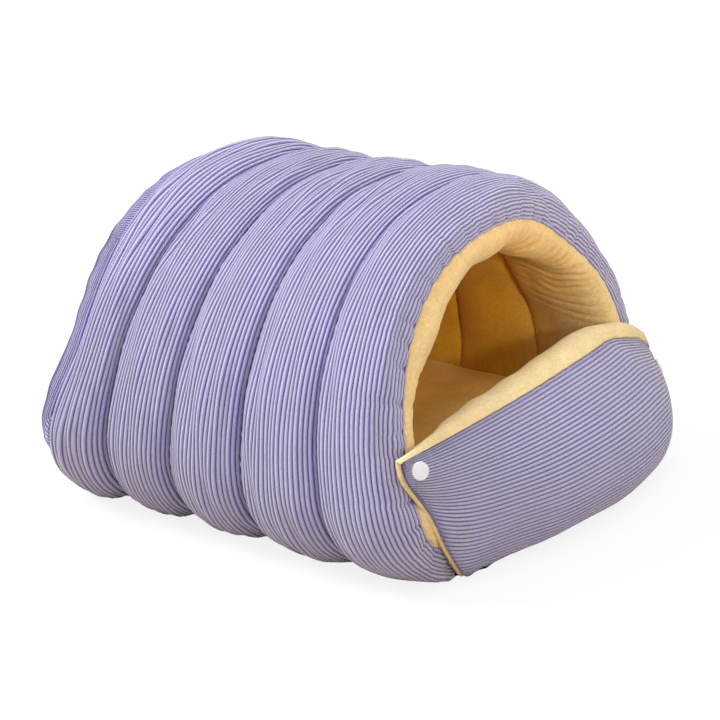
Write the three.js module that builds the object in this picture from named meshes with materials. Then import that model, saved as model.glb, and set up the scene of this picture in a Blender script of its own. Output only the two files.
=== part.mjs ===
// Hooded pet bed: a padded tunnel of five sewn channels with a closed back, a fleece lining, a floor cushion,
// a dark base cloth and a low padded flap across the doorway.
// Millimetres, +Z up. The tunnel runs along Y and opens towards -Y. The origin is on the floor, under the
// middle of the bed.
import * as THREE from "three";
import { mergeVertices } from "three/addons/utils/BufferGeometryUtils.js";

const gap = 0.3; // between pieces that touch
const sheetThickness = 2.5; // fleece with its backing
const baseThickness = 2;
const floorClear = baseThickness + gap; // lowest point of what stands on the base cloth

const lavender = 0xb3a9dc;
const yellow = 0xe6cf94;
const dark = 0x2b2930;
const white = 0xf0eff2;

// The sewn outline of the outer cloth, seen from the doorway: a crown over a waist, and a side that curls in
// below the waist until the foot.
const outerRing = {
  halfWidth: 182,
  waist: 76.5,
  height: 240,
  tuck: 104,
  foot: 118,
  crownPower: 2.14,
  sidePower: 2.22,
};
// The same outline on the lining's side, in towards the cabin.
const innerRing = {
  halfWidth: 149,
  waist: 80,
  height: 206,
  tuck: 72,
  foot: 101,
  crownPower: 2.14,
  sidePower: 2.22,
};
const sideShare = 0.13; // part of the way along the ring that lies below the waist, on each side

// Where each sewn line stands: its Y at the crown and at the floor, and its size against the ring.
const sewnLines = [
  { name: "back seam", crownY: 171, floorY: 207, width: 1.005, height: 1.009 },
  { name: "line 1", crownY: 118, floorY: 147, width: 0.996, height: 0.998 },
  { name: "line 2", crownY: 67, floorY: 83, width: 0.997, height: 0.997 },
  { name: "line 3", crownY: 12.5, floorY: 11, width: 1.006, height: 1.005 },
  { name: "line 4", crownY: -45, floorY: -70, width: 1.025, height: 1.022 },
  { name: "doorway", crownY: -92.5, floorY: -145, width: 1.052, height: 1.049 },
];
const leanPower = 1.23; // how the lean grows towards the floor
// The back seam is drawn forward between two heights, softly from the lower one.
const backDraw = { depth: 18, from: 30, to: 250, start: 0.5 };
const doorwayFootY = -131; // the doorway stands upright below this much lean
const liningSetBack = { crown: 20, floor: 4 }; // the lining's sewn lines lie this far behind the outer ones
const setBackHeight = 150; // where the lining's set back reaches its full size

const puff = {
  outerAtFloor: 18,
  outerAtCrown: 11,
  innerAtSide: 9,
  innerAtCrown: 12,
  roundness: 2.26,
};
const doorwayRoll = {
  outerPuff: 1.05, // against the puff of the other channels
  outerRound: 0.8,
  innerRound: 0.7,
  rimInset: 23, // from the ring in to the seam between corduroy and fleece
  rimInsetAtFloor: 14,
  rightInset: 11, // the rim is drawn this much further in on the right shoulder
  rightInsetAt: 0.66,
  rightInsetWidth: 0.1,
  innerPuffAtSide: 9,
  innerPuffAtCrown: 20,
  insetPower: 1.89,
};

// Back panel: a pillow that closes the tunnel, thin where it is sewn to the first channel.
const backPanel = {
  clear: 1.3, // behind the first channel
  edge: 4,
  bulgeOut: 40,
  bulgeIn: 12,
  edgePower: 6, // how flat the middle of the pillow is
  edgePowerInside: 4,
  insideShare: 0.955, // the cabin's side stays within this share of the lining's ring
  floorFade: 130, // the bulge shrinks below this height
  bulgeAtFloor: 0.25,
};

// Floor cushion, half its width at each height, and its length along Y.
const cushion = { backY: 178, frontY: -101, plan: 4, angles: 32 };
const cushionSide = [
  { z: 2.6, halfWidth: 0 },
  { z: 2.6, halfWidth: 92 },
  { z: 9, halfWidth: 101 },
  { z: 20, halfWidth: 112 },
  { z: 38, halfWidth: 124 },
  { z: 54, halfWidth: 122 },
  { z: 64, halfWidth: 104 },
  { z: 70, halfWidth: 62 },
  { z: 72, halfWidth: 0 },
];

// Base cloth: it follows the feet of the hood and reaches out under the flap.
const baseInset = 1.3;
const baseFrontY = -144;
const baseFrontHalf = 98;
const baseBackY = 207;

// Flap across the doorway: its outline and the bulge of its middle, from the bottom seam to the top seam.
// left and right are its two half widths, and lean is how far its fullest part stands to the right.
const flapFront = [
  { z: 2.3, left: 122, right: 145, edgeY: -141.5, belly: 17, lean: 0.44 },
  { z: 9, left: 128, right: 158, edgeY: -141, belly: 39, lean: 0.42 },
  { z: 28, left: 142, right: 174, edgeY: -140, belly: 48, lean: 0.38 },
  { z: 50, left: 153, right: 183, edgeY: -138, belly: 48, lean: 0.32 },
  { z: 76, left: 167, right: 185, edgeY: -133, belly: 42, lean: 0.26 },
  { z: 98, left: 184, right: 177, edgeY: -128, belly: 29, lean: 0.22 },
  { z: 109, left: 184, right: 167, edgeY: -125.5, belly: 18, lean: 0.2 },
  { z: 112.6, left: 184, right: 164, edgeY: -125, belly: 11, lean: 0.2 },
];
// The flap's fleece side, from the bottom seam up the inner side and over the crown to the top seam.
// behind is its distance behind the front's edge; inY and inZ point from the fleece into the flap.
const flapBack = [
  { z: 2.3, belly: 2, behind: 5.8, inY: -1, inZ: 0 },
  { z: 9, belly: 14, behind: 5.8, inY: -1, inZ: 0 },
  { z: 34, belly: 22, behind: 5.8, inY: -1, inZ: 0 },
  { z: 64, belly: 20, behind: 5.8, inY: -1, inZ: 0 },
  { z: 94, belly: 17, behind: 5.8, inY: -1, inZ: 0 },
  { z: 111, belly: 8, behind: 5.8, inY: -0.9, inZ: -0.4 },
  { z: 117.5, belly: -3, behind: 3, inY: 0, inZ: -1 },
  { z: 114, belly: -12, behind: 0.4, inY: 0.6, inZ: -0.8 },
];
const flapBelly = {
  leftPower: 2.4,
  rightPower: 2.9,
  fullness: 0.8,
  innerHalfAtFloor: 96,
  innerHalf: 130,
  innerRise: 60, // height where the inner bulge has its full width
  innerPower: 4,
};
// The flap's right end droops and stands forward: past this share of the half width its top comes down,
// by depth at the very end, and the whole end moves forward.
const flapDroop = { from: 0.6, depth: 17, forward: 3.5, power: 1.5, fullHeight: 109 };
const flapSteps = 20;
const flapEnd = 0.97; // the hem at each end starts here
const flapBacking = 3.4; // depth of the flap's own back under the face of its fleece
const edgeShow = 0.015; // share of the half width by which the lining stands past the flap's two ends

// Snap caps, one at each end of the flap, and half their outline.
const snap = { clear: 0.9, sides: 16 };
const snapPlaces = [
  { name: "snap_cap_left", x: -174, z: 103 },
  { name: "snap_cap_right", x: 167, z: 92 },
];
const snapProfile = [
  { radius: 0, height: 0 },
  { radius: 6.3, height: 0 },
  { radius: 6.7, height: 0.5 },
  { radius: 6.7, height: 1.5 },
  { radius: 6, height: 2.2 },
  { radius: 3.5, height: 2.7 },
  { radius: 0, height: 2.9 },
];

const ringSteps = 30;
const channelStops = [0, 0.1, 0.5, 0.9];
const rollSteps = 8;

const lerp = THREE.MathUtils.lerp;
const clamp = THREE.MathUtils.clamp;

// Value of a column at a place between the rows of a table.
function fromTable(rows, column, place) {
  const low = clamp(Math.floor(place), 0, rows.length - 2);
  return lerp(rows[low][column], rows[low + 1][column], place - low);
}

// Value of one column against another, both read from the same table.
function lookUp(rows, key, column, at) {
  const last = rows.length - 1;
  if (at <= rows[0][key]) return rows[0][column];
  if (at >= rows[last][key]) return rows[last][column];
  const high = rows.findIndex((row) => row[key] > at);
  const share = (at - rows[high - 1][key]) / (rows[high][key] - rows[high - 1][key]);
  return lerp(rows[high - 1][column], rows[high][column], share);
}

// Point of a ring at share u of the way from the left foot over the crown to the right foot.
function ringPoint(ring, u, width, height) {
  const side = u < 0.5 ? -1 : 1;
  const fromFoot = u < 0.5 ? u : 1 - u;
  const centre = ring.halfWidth - ring.tuck;
  if (fromFoot < sideShare) {
    const footAngle = Math.acos((ring.foot - centre) / ring.tuck);
    const angle = footAngle * (1 - fromFoot / sideShare);
    const x = (centre + ring.tuck * Math.cos(angle)) * width;
    return { x: side * x, z: ring.waist * (1 - Math.sin(angle)) };
  }
  const angle = ((fromFoot - sideShare) / (1 - 2 * sideShare)) * Math.PI;
  const x = ring.halfWidth * Math.pow(Math.max(Math.cos(angle), 0), 2 / ring.sidePower) * width;
  const rise = (ring.height * height - ring.waist) * Math.pow(Math.sin(angle), 2 / ring.crownPower);
  return { x: side * x, z: ring.waist + rise };
}

// The ring's point moved out along its own normal.
function ringOffset(ring, u, width, height, offset) {
  const step = 0.002;
  const before = ringPoint(ring, Math.max(u - step, 0), width, height);
  const after = ringPoint(ring, Math.min(u + step, 1), width, height);
  const length = Math.hypot(after.x - before.x, after.z - before.z);
  const here = ringPoint(ring, u, width, height);
  return {
    x: here.x - ((after.z - before.z) / length) * offset,
    z: here.z + ((after.x - before.x) / length) * offset,
  };
}

// Y of the sewn line at place v, as it leans between the crown and the floor.
function leanY(v, ringZ) {
  const crown = fromTable(sewnLines, "crownY", v);
  const floor = fromTable(sewnLines, "floorY", v);
  const rise = clamp((ringZ - backDraw.from) / (backDraw.to - backDraw.from), 0, 1);
  const soft = THREE.MathUtils.smoothstep(rise, 0, backDraw.start);
  const drawn = backDraw.depth * Math.sin(rise * Math.PI) * soft * clamp(1 - v, 0, 1);
  return lerp(crown, floor, Math.pow(clamp(1 - ringZ / outerRing.height, 0, 1), leanPower)) - drawn;
}

function channelProfile(t) {
  return Math.sqrt(Math.max(0, 1 - Math.pow(Math.abs(2 * t - 1), puff.roundness)));
}

function crownShare(z) {
  return Math.pow(clamp(z / outerRing.height, 0, 1), 2);
}

// Outer surface of the hood. v runs from 0 at the back seam to 5 at the doorway seam.
function outerPoint(u, v) {
  const width = fromTable(sewnLines, "width", v);
  const height = fromTable(sewnLines, "height", v);
  const ringZ = ringPoint(outerRing, u, width, height).z;
  const puffHere = lerp(puff.outerAtFloor, puff.outerAtCrown, crownShare(ringZ));
  let offset = puffHere * channelProfile(v - Math.floor(v));
  let y = leanY(v, ringZ);
  if (v > 4) {
    const t = v - 4;
    const forward = (1 - Math.cos(t * Math.PI)) / 2;
    const above = clamp(ringZ / outerRing.waist, 0, 1);
    const fromRight = (u - doorwayRoll.rightInsetAt) / doorwayRoll.rightInsetWidth;
    const further = doorwayRoll.rightInset * Math.exp(-fromRight * fromRight);
    const inset = lerp(doorwayRoll.rimInsetAtFloor, doorwayRoll.rimInset, above) + further;
    offset = puffHere * doorwayRoll.outerPuff * Math.pow(Math.sin(t * Math.PI), doorwayRoll.outerRound);
    offset -= inset * Math.pow(t, doorwayRoll.insetPower);
    y = Math.max(leanY(4 + forward, ringZ), doorwayFootY);
  }
  const point = ringOffset(outerRing, u, width, height, offset);
  const atFoot = u === 0 || u === 1;
  return new THREE.Vector3(point.x, y, Math.max(point.z, atFoot ? floorClear : 0));
}

// Fleece side of the hood, v as above; raise is how far the point is set back into the padding.
function innerPoint(u, v, raise) {
  const width = fromTable(sewnLines, "width", v);
  const height = fromTable(sewnLines, "height", v);
  const ringZ = ringPoint(innerRing, u, width, height).z;
  const share = crownShare(ringZ);
  const setBackShare = clamp(ringZ / setBackHeight, 0, 1);
  const setBack = lerp(liningSetBack.floor, liningSetBack.crown, setBackShare) * clamp(v, 0, 1);
  const footFade = clamp(Math.min(u, 1 - u) / sideShare, 0, 1);
  const puffHere = lerp(puff.innerAtSide, puff.innerAtCrown, share) * footFade;
  let offset = -puffHere * channelProfile(v - Math.floor(v));
  let y = leanY(v, ringZ) + setBack;
  if (v > 4) {
    const t = 5 - v; // 0 at the doorway seam
    const back = (1 - Math.cos(t * Math.PI)) / 2;
    const rim = outerPoint(u, 5);
    const fold = lerp(doorwayRoll.innerPuffAtSide, doorwayRoll.innerPuffAtCrown, share);
    offset = -fold * Math.pow(Math.sin(t * Math.PI), doorwayRoll.innerRound) * footFade;
    const seamShare = Math.pow(1 - t, doorwayRoll.insetPower);
    const sewn = ringOffset(innerRing, u, width, height, offset + raise);
    const seam = ringOffset(outerRing, u, width, height, 0);
    const length = Math.hypot(seam.x - rim.x, seam.z - rim.z);
    const out = { x: (seam.x - rim.x) / length, z: (seam.z - rim.z) / length };
    y = lerp(rim.y, leanY(4, ringZ) + setBack, back);
    return new THREE.Vector3(
      lerp(sewn.x, rim.x + out.x * (raise + offset), seamShare),
      y,
      Math.max(lerp(sewn.z, rim.z + out.z * (raise + offset), seamShare), floorClear),
    );
  }
  const point = ringOffset(innerRing, u, width, height, offset + raise);
  return new THREE.Vector3(point.x, y, Math.max(point.z, floorClear));
}

// Closed body between two grids of points with the same rows and columns; a is the outside.
function bodyBetween(a, b) {
  const rows = a.length;
  const columns = a[0].length;
  const positions = [];
  const index = [];
  for (const grid of [a, b]) {
    for (const row of grid) {
      for (const point of row) positions.push(point.x, point.y, point.z);
    }
  }
  const at = (side, r, c) => side * rows * columns + r * columns + c;
  const quad = (p, q, s, t) => index.push(p, q, s, p, s, t);
  for (let r = 0; r + 1 < rows; r++) {
    for (let c = 0; c + 1 < columns; c++) {
      quad(at(0, r, c), at(0, r, c + 1), at(0, r + 1, c + 1), at(0, r + 1, c));
      quad(at(1, r, c), at(1, r + 1, c), at(1, r + 1, c + 1), at(1, r, c + 1));
    }
  }
  for (let r = 0; r + 1 < rows; r++) {
    quad(at(0, r, 0), at(0, r + 1, 0), at(1, r + 1, 0), at(1, r, 0));
    quad(at(0, r + 1, columns - 1), at(0, r, columns - 1), at(1, r, columns - 1), at(1, r + 1, columns - 1));
  }
  for (let c = 0; c + 1 < columns; c++) {
    quad(at(0, 0, c + 1), at(0, 0, c), at(1, 0, c), at(1, 0, c + 1));
    quad(at(0, rows - 1, c), at(0, rows - 1, c + 1), at(1, rows - 1, c + 1), at(1, rows - 1, c));
  }
  return sealed(positions, index);
}

// Geometry with its shared points merged and the triangles that shrank to nothing left out.
function sealed(positions, index) {
  const loose = new THREE.BufferGeometry();
  loose.setAttribute("position", new THREE.Float32BufferAttribute(positions, 3));
  loose.setIndex(index);
  const merged = mergeVertices(loose, 1e-3);
  const corners = merged.getIndex().array;
  const kept = [];
  for (let i = 0; i < corners.length; i += 3) {
    const [p, q, s] = [corners[i], corners[i + 1], corners[i + 2]];
    if (p !== q && q !== s && s !== p) kept.push(p, q, s);
  }
  merged.setIndex(kept);
  return merged;
}

// Closed body of outlines stacked from a bottom centre to a top centre; pointAt(angle share, row).
function stackedBody(angles, rows, pointAt) {
  const positions = [];
  const index = [];
  for (let a = 0; a < angles; a++) {
    for (const row of rows) {
      const point = pointAt(a / angles, row);
      positions.push(point.x, point.y, point.z);
    }
  }
  for (let a = 0; a < angles; a++) {
    const here = a * rows.length;
    const next = ((a + 1) % angles) * rows.length;
    for (let r = 0; r + 1 < rows.length; r++) {
      index.push(here + r, next + r, next + r + 1, here + r, next + r + 1, here + r + 1);
    }
  }
  return sealed(positions, index);
}

function grid(rowValues, columnValues, pointAt) {
  return rowValues.map((r) => columnValues.map((c) => pointAt(r, c)));
}

function steps(count, from = 0, to = 1) {
  return Array.from({ length: count + 1 }, (_, i) => lerp(from, to, i / count));
}

const bed = new THREE.Group();

function addPiece(name, geometry, color, roughness) {
  geometry.computeVertexNormals();
  const material = new THREE.MeshStandardMaterial({ color, roughness, metalness: 0 });
  const mesh = new THREE.Mesh(geometry, material);
  mesh.name = name;
  bed.add(mesh);
  return mesh;
}

// Hood: one padded panel, sewn into channels.
const ringStops = steps(ringSteps);
const alongStops = [];
for (let channel = 0; channel < 4; channel++) {
  for (const stop of channelStops) alongStops.push(channel + stop);
}
for (const stop of steps(rollSteps)) alongStops.push(4 + stop);

const backing = sheetThickness + gap;
addPiece(
  "hood",
  bodyBetween(
    grid(ringStops, alongStops, outerPoint),
    grid(ringStops, alongStops, (u, v) => innerPoint(u, v, backing)),
  ),
  lavender,
  0.95,
);

// Hood lining: fleece on the padding's inner side, ending at the doorway seam.
addPiece(
  "hood_lining",
  bodyBetween(
    grid(ringStops, alongStops, (u, v) => innerPoint(u, v, sheetThickness)),
    grid(ringStops, alongStops, (u, v) => innerPoint(u, v, 0)),
  ),
  yellow,
  1,
);

// Back panel: two polar grids over the ring of the back seam. Inside the cabin it bulges in a little.
function backPoint(ring, u, share) {
  const outline = ringPoint(ring, u, sewnLines[0].width, sewnLines[0].height);
  const x = outline.x * share;
  const z = lerp(floorClear, Math.max(outline.z, floorClear), share);
  return new THREE.Vector3(x, leanY(0, z), z);
}

function pillow(share, z, power) {
  const fade = lerp(backPanel.bulgeAtFloor, 1, Math.sqrt(clamp(z / backPanel.floorFade, 0, 1)));
  return Math.sqrt(Math.max(0, 1 - Math.pow(share, power))) * fade;
}

function backInside(u, share, toCabin) {
  const point = backPoint(innerRing, u, share * backPanel.insideShare);
  point.y += backPanel.clear - backPanel.bulgeIn * pillow(share, point.z, backPanel.edgePowerInside) - toCabin;
  return point;
}

const insideShares = [0, 0.35, 0.65, 0.85, 0.95, 1];
const outsideShares = [0, 0.35, 0.6, 0.8, 0.91, 0.97, 1];
addPiece(
  "back_panel",
  bodyBetween(
    grid(ringStops, outsideShares, (u, share) => {
      const point = backPoint(outerRing, u, share);
      point.y += backPanel.clear + backPanel.edge + backPanel.bulgeOut * pillow(share, point.z, backPanel.edgePower);
      return point;
    }),
    grid(ringStops, [...insideShares, null], (u, share) => {
      if (share !== null) return backInside(u, share, 0);
      const point = backPoint(outerRing, u, 1);
      point.y += backPanel.clear;
      return point;
    }),
  ),
  lavender,
  0.95,
);
addPiece(
  "back_lining",
  bodyBetween(
    grid(ringStops, insideShares, (u, share) => backInside(u, share, gap)),
    grid(ringStops, insideShares, (u, share) => backInside(u, share, gap + sheetThickness)),
  ),
  yellow,
  1,
);

// Floor cushion: rounded corners in plan, a full crown, and sides that follow the lining down to the base.
const cushionWidest = Math.max(...cushionSide.map((row) => row.halfWidth));
const cushionHalfLength = (cushion.backY - cushion.frontY) / 2;
addPiece(
  "floor_cushion",
  stackedBody(cushion.angles, cushionSide, (share, row) => {
    const angle = share * 2 * Math.PI;
    const c = Math.cos(angle);
    const s = Math.sin(angle);
    const inset = cushionWidest - row.halfWidth;
    const reach = row.halfWidth === 0 ? 0 : cushionHalfLength - inset;
    return new THREE.Vector3(
      row.halfWidth * Math.sign(c) * Math.pow(Math.abs(c), 2 / cushion.plan),
      (cushion.backY + cushion.frontY) / 2 + reach * Math.sign(s) * Math.pow(Math.abs(s), 2 / cushion.plan),
      row.z,
    );
  }),
  yellow,
  1,
);

// Base cloth.
const baseOutline = new THREE.Shape();
const footLines = sewnLines.map((line) => ({ x: outerRing.foot * line.width - baseInset, y: line.floorY }));
footLines[0].y = baseBackY;
footLines[footLines.length - 1].y = doorwayFootY;
baseOutline.moveTo(footLines[0].x, footLines[0].y);
for (const line of footLines.slice(1)) baseOutline.lineTo(line.x, line.y);
baseOutline.lineTo(baseFrontHalf, baseFrontY);
baseOutline.lineTo(-baseFrontHalf, baseFrontY);
for (const line of [...footLines].reverse()) baseOutline.lineTo(-line.x, line.y);
addPiece(
  "base_cloth",
  new THREE.ExtrudeGeometry(baseOutline, { depth: baseThickness, bevelEnabled: false }),
  dark,
  0.9,
);

// Flap. a runs from -1 at its left end to 1 at its right end.
function flapBellyShare(a, z) {
  const leaned = a - lookUp(flapFront, "z", "lean", z) * (1 - a * a);
  const power = leaned < 0 ? flapBelly.leftPower : flapBelly.rightPower;
  return Math.pow(Math.max(0, 1 - Math.pow(Math.abs(leaned), power)), flapBelly.fullness);
}

function droopShare(a) {
  const share = clamp((a - flapDroop.from) / (1 - flapDroop.from), 0, 1);
  return share * share * (3 - 2 * share);
}

function flapHeight(a, z) {
  const rise = Math.pow(Math.min(z / flapDroop.fullHeight, 1), flapDroop.power);
  return z - flapDroop.depth * droopShare(a) * rise;
}

// Where the flap's edge stands in plan; over the crown it stays as it is at the full height.
function flapEdge(a, z, column) {
  return lookUp(flapFront, "z", column, flapHeight(a, Math.min(z, flapDroop.fullHeight)));
}

function flapEdgeY(a, z) {
  return flapEdge(a, z, "edgeY") - flapDroop.forward * droopShare(a);
}

function flapFrontPoint(a, row) {
  const x = a * flapEdge(a, row.z, a < 0 ? "left" : "right");
  const y = flapEdgeY(a, row.z) - row.belly * flapBellyShare(a, row.z);
  return new THREE.Vector3(x, y, flapHeight(a, row.z));
}

// Point of the flap's fleece side, raise being its depth under the fleece.
function flapBackPoint(a, row, raise) {
  const z = flapHeight(a, row.z);
  const x = a * flapEdge(a, row.z, a < 0 ? "left" : "right");
  const rise = clamp(z / flapBelly.innerRise, 0, 1);
  const innerHalf = lerp(flapBelly.innerHalfAtFloor, flapBelly.innerHalf, rise);
  const inside = Math.max(0, 1 - Math.pow(Math.abs(x) / innerHalf, flapBelly.innerPower));
  const share = row.belly > 0 ? inside : flapBellyShare(a, row.z);
  const y = flapEdgeY(a, row.z) + row.behind + row.belly * share;
  return new THREE.Vector3(x, y + row.inY * raise, z + row.inZ * raise);
}

const flapStops = [1, ...steps(flapSteps, flapEnd, -flapEnd), -1];
const flapLiningStops = [1 + edgeShow, ...flapStops, -1 - edgeShow];
addPiece(
  "flap",
  bodyBetween(
    grid(flapStops, flapFront, flapFrontPoint),
    grid(flapStops, flapBack, (a, row) => flapBackPoint(a, row, flapBacking)),
  ),
  lavender,
  0.95,
);
addPiece(
  "flap_lining",
  bodyBetween(
    grid(flapLiningStops, flapBack, (a, row) => flapBackPoint(a, row, sheetThickness)),
    grid(flapLiningStops, flapBack, (a, row) => flapBackPoint(a, row, 0)),
  ),
  yellow,
  1,
);

// Snap caps, each set square on the flap where it stands.
function flapFrontAt(x, z) {
  const a = x / lookUp(flapFront, "z", x < 0 ? "left" : "right", z);
  return flapFrontPoint(a, { z, belly: lookUp(flapFront, "z", "belly", z) });
}

for (const { name, x, z } of snapPlaces) {
  const place = flapFrontAt(x, z);
  const radius = snapProfile[1].radius;
  const across = flapFrontAt(x + radius, z).sub(flapFrontAt(x - radius, z));
  const up = flapFrontAt(x, z + radius).sub(flapFrontAt(x, z - radius));
  const outward = across.cross(up).normalize();
  const geometry = stackedBody(snap.sides, snapProfile, (share, row) => {
    const angle = share * 2 * Math.PI;
    return new THREE.Vector3(row.radius * Math.cos(angle), row.radius * Math.sin(angle), row.height);
  });
  geometry.applyQuaternion(new THREE.Quaternion().setFromUnitVectors(new THREE.Vector3(0, 0, 1), outward));
  geometry.translate(...place.addScaledVector(outward, snap.clear).toArray());
  addPiece(name, geometry, white, 0.3);
}

// The origin goes under the middle of the whole bed.
const middle = new THREE.Box3().setFromObject(bed).getCenter(new THREE.Vector3());
for (const piece of bed.children) piece.geometry.translate(-middle.x, -middle.y, 0);

export default bed;
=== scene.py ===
import math
import bpy
import numpy as np
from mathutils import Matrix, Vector


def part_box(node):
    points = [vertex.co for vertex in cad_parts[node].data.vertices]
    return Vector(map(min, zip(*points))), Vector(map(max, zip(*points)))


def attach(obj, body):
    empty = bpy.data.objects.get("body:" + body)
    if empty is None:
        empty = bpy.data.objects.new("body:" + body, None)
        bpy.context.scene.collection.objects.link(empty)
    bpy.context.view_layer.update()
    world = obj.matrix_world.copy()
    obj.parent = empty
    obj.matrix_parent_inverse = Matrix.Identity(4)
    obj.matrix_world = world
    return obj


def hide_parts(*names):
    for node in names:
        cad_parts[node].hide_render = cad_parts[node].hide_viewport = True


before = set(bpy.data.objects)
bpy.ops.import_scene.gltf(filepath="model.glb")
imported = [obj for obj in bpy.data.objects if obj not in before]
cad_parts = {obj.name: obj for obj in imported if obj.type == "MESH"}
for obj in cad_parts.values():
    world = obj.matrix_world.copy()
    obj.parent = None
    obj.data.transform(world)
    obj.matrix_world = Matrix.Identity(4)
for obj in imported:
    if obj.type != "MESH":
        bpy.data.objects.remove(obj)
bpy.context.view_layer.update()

# Shapes are worked out in millimetres, with the tunnel along Y and its doorway towards -Y.
mm = 0.001
baseBackY = 207.0  # back edge of the base cloth, before the bed is centred on its origin
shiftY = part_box("base_cloth")[1].y / mm - baseBackY


# Numbers, tables and noise

def lerp(a, b, share):
    return a + (b - a) * share


def ease(a, b, value):
    share = np.clip((value - a) / (b - a), 0, 1)
    return share * share * (3 - 2 * share)


def makeWaves(seed, length, count=9, direction=None):
    # soft seeded noise over coordinates in millimetres, about -1 to 1
    random = np.random.default_rng(seed)
    turn = random.uniform(0, 2 * math.pi, count) if direction is None else np.full(count, direction)
    rate = 2 * math.pi / (length * random.uniform(0.7, 1.4, count))
    phase = random.uniform(0, 2 * math.pi, count)

    def waves(x, y=0.0):
        total = 0.0
        for k in range(count):
            total = total + np.cos(rate[k] * (x * math.cos(turn[k]) + y * math.sin(turn[k])) + phase[k])
        return total / math.sqrt(count)

    return waves


def evenStops(points, count):
    # shares of the way along a curve that part it into equal lengths, and its length
    step = np.linalg.norm(np.diff(points, axis=0), axis=1)
    run = np.concatenate([[0], np.cumsum(step)])
    return np.interp(np.linspace(0, run[-1], count + 1), run, np.linspace(0, 1, len(points))), run[-1]


def waleStops(count):
    # three places to a wale: its groove and the two shoulders of its crest
    return np.append((np.arange(count)[:, None] + [0, 0.24, 0.76]).ravel(), count)


def surfaceNormals(points, outward=1):
    down = np.gradient(points, axis=0)
    across = np.gradient(points, axis=1)
    normal = np.cross(across, down) * outward
    return normal / np.maximum(np.linalg.norm(normal, axis=2, keepdims=True), 1e-9)


def runAlong(points, axis):
    # distance along the grid, in millimetres
    step = np.linalg.norm(np.diff(points, axis=axis), axis=2)
    run = np.cumsum(step, axis=axis)
    zero = np.zeros_like(np.take(run, [0], axis=axis))
    return np.concatenate([zero, run], axis=axis)


def smoothRows(control, count):
    # a smooth surface through a few rows of points
    rows = [2 * control[0] - control[1], *control, 2 * control[-1] - control[-2]]
    out = []
    for place in np.linspace(0, len(control) - 1, count + 1):
        k = min(int(place), len(control) - 2)
        t = place - k
        p0, p1, p2, p3 = rows[k : k + 4]
        out.append(0.5 * (2 * p1 + (p2 - p0) * t + (2 * p0 - 5 * p1 + 4 * p2 - p3) * t**2
                          + (3 * p1 - p0 - 3 * p2 + p3) * t**3))
    return np.array(out)


# Meshes

def toMetres(points):
    points = np.array(points, float)
    points[..., 1] += shiftY
    return points * mm


def addPiece(name, points, faces, material, attributes=None):
    mesh = bpy.data.meshes.new(name)
    mesh.from_pydata(toMetres(points).reshape(-1, 3), [], faces)
    for key, values in (attributes or {}).items():
        mesh.attributes.new(key, "FLOAT", "POINT").data.foreach_set("value", np.array(values, np.float32).ravel())
    mesh.polygons.foreach_set("use_smooth", np.ones(len(mesh.polygons), bool))
    mesh.materials.append(material)
    mesh.update()
    piece = bpy.data.objects.new(name, mesh)
    bpy.context.scene.collection.objects.link(piece)
    return piece


def addShell(name, fine, coarse, step, material, attributes=None, flip=False):
    # a closed body between a fine grid, which shows, and a coarse one behind it, whose points stand step apart
    rows, columns = fine.shape[:2]
    coarseRows, coarseColumns = coarse.shape[:2]
    fineAt = np.arange(rows * columns).reshape(rows, columns)
    coarseAt = rows * columns + np.arange(coarseRows * coarseColumns).reshape(coarseRows, coarseColumns)
    a, b, c, d = fineAt[:-1, :-1], fineAt[:-1, 1:], fineAt[1:, 1:], fineAt[1:, :-1]
    faces = np.stack([a, b, c, d], axis=2).reshape(-1, 4).tolist()
    a, b, c, d = coarseAt[:-1, :-1], coarseAt[1:, :-1], coarseAt[1:, 1:], coarseAt[:-1, 1:]
    faces += np.stack([a, b, c, d], axis=2).reshape(-1, 4).tolist()
    for k in range(coarseColumns - 1):
        low, high = k * step, (k + 1) * step
        faces.append([*fineAt[0, low : high + 1][::-1], coarseAt[0, k], coarseAt[0, k + 1]])
        faces.append([*fineAt[-1, low : high + 1], coarseAt[-1, k + 1], coarseAt[-1, k]])
    for k in range(coarseRows - 1):
        low, high = k * step, (k + 1) * step
        faces.append([*fineAt[low : high + 1, 0], coarseAt[k + 1, 0], coarseAt[k, 0]])
        faces.append([*fineAt[low : high + 1, -1][::-1], coarseAt[k, -1], coarseAt[k + 1, -1]])
    if flip:
        faces = [face[::-1] for face in faces]
    points = np.concatenate([fine.reshape(-1, 3), coarse.reshape(-1, 3)])
    both = {}
    for key, values in (attributes or {}).items():
        values = np.broadcast_to(values, (rows, columns))
        behind = values[::step, ::step] * (0 if key == "waleDepth" else 1)
        both[key] = np.concatenate([values.ravel(), behind.ravel()])
    return addPiece(name, points, faces, material, both)


# Node trees

def addNode(tree, kind, inputs=None, **settings):
    node = tree.nodes.new(kind)
    for key, value in settings.items():
        setattr(node, key, value)
    for key, value in (inputs or {}).items():
        if isinstance(value, bpy.types.NodeSocket):
            tree.links.new(value, node.inputs[key])
        else:
            node.inputs[key].default_value = value
    return node


def linear(hexColour):
    channels = [int(hexColour[k : k + 2], 16) / 255 for k in (1, 3, 5)]
    return [c / 12.92 if c <= 0.04045 else ((c + 0.055) / 1.055) ** 2.4 for c in channels] + [1.0]


def newMaterial(name, roughness, sheen=0.0, sheenRoughness=0.3, sheenTint="#ffffff"):
    material = bpy.data.materials.new(name)
    material.use_nodes = True
    tree = material.node_tree
    tree.nodes.clear()
    shader = addNode(tree, "ShaderNodeBsdfPrincipled", {
        "Roughness": roughness, "Specular IOR Level": 0.2, "Sheen Weight": sheen,
        "Sheen Roughness": sheenRoughness, "Sheen Tint": linear(sheenTint)})
    addNode(tree, "ShaderNodeOutputMaterial", {"Surface": shader.outputs[0]})
    return material, tree, shader


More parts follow.
